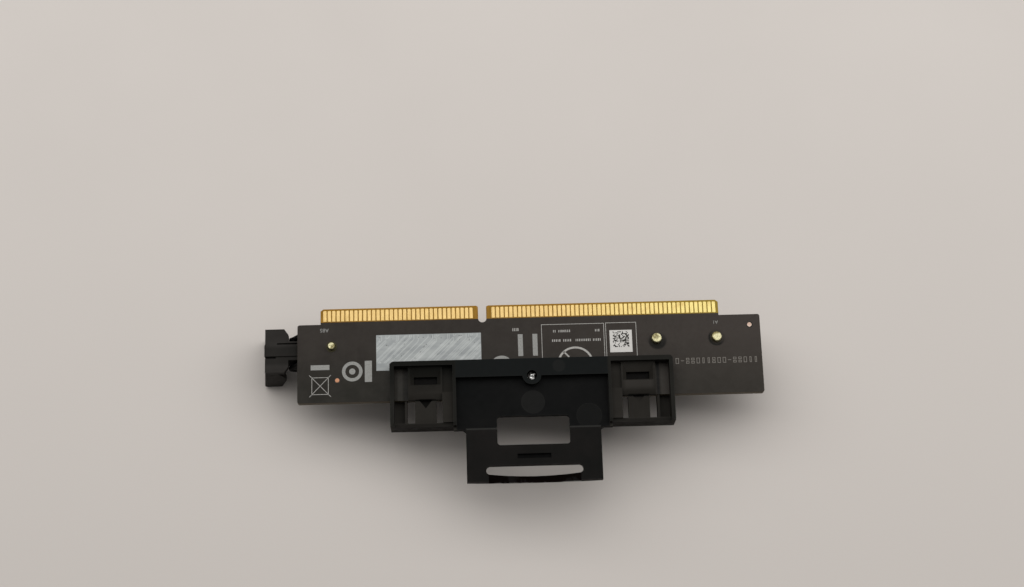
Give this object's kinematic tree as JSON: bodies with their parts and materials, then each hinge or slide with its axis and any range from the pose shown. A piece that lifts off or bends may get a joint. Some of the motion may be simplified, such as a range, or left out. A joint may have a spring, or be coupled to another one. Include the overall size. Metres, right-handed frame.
{
  "type": "pcie riser card",
  "caption": "Slim riser board with a keyed gold edge, a surface-mounted x16 card slot with hinged latch on its far face, and a moulded clip-on pull bracket.",
  "frame": {"origin": "centre line of the key notch, on the leading edge of the gold tab, at the board's mid thickness", "axes": "+X along the board towards the long run of fingers, +Y out over the gold edge, +Z away from the card slot, up as the part lies"},
  "size_m": [0.1129, 0.0414, 0.0156],
  "materials": {
    "board": "dark brown solder mask over glass laminate",
    "gold": "bright hard gold plating",
    "slot_plastic": "black glass-filled moulding",
    "contact_alloy": "plated spring bronze",
    "pin_metal": "pale tinned metal",
    "latch_plastic": "black moulding",
    "bracket_plastic": "black moulding, semi-matte",
    "screw_steel": "zinc plated",
    "label_film": "white film label",
    "ceramic": "tan ceramic",
    "resistor_body": "black glazed chip"
  },
  "bodies": {
    "riser": {"pcb": "board", "fingers_a_long": "gold", "fingers_a_short": "gold", "fingers_b_long": "gold", "fingers_b_short": "gold", "slot_housing": "slot_plastic", "contacts_a_short": "contact_alloy", "contacts_a_long": "contact_alloy", "contacts_b_short": "contact_alloy", "contacts_b_long": "contact_alloy", "pin_key": "pin_metal", "pin_front": "pin_metal", "pin_end": "pin_metal", "bracket": "bracket_plastic", "bracket_screw": "screw_steel", "data_label": "label_film", "capacitors_12v": "ceramic", "capacitors_3v3": "ceramic", "sense_resistors": "resistor_body"},
    "latch": {"slot_latch": "latch_plastic"}
  },
  "joints": [
    {"name": "latch_hinge", "type": "hinge", "parent": "riser", "child": "latch", "pos_m": [-0.0422, -0.00895, -0.00479], "axis": [0, 1, 0], "range_deg": [0, 25]}
  ]
}
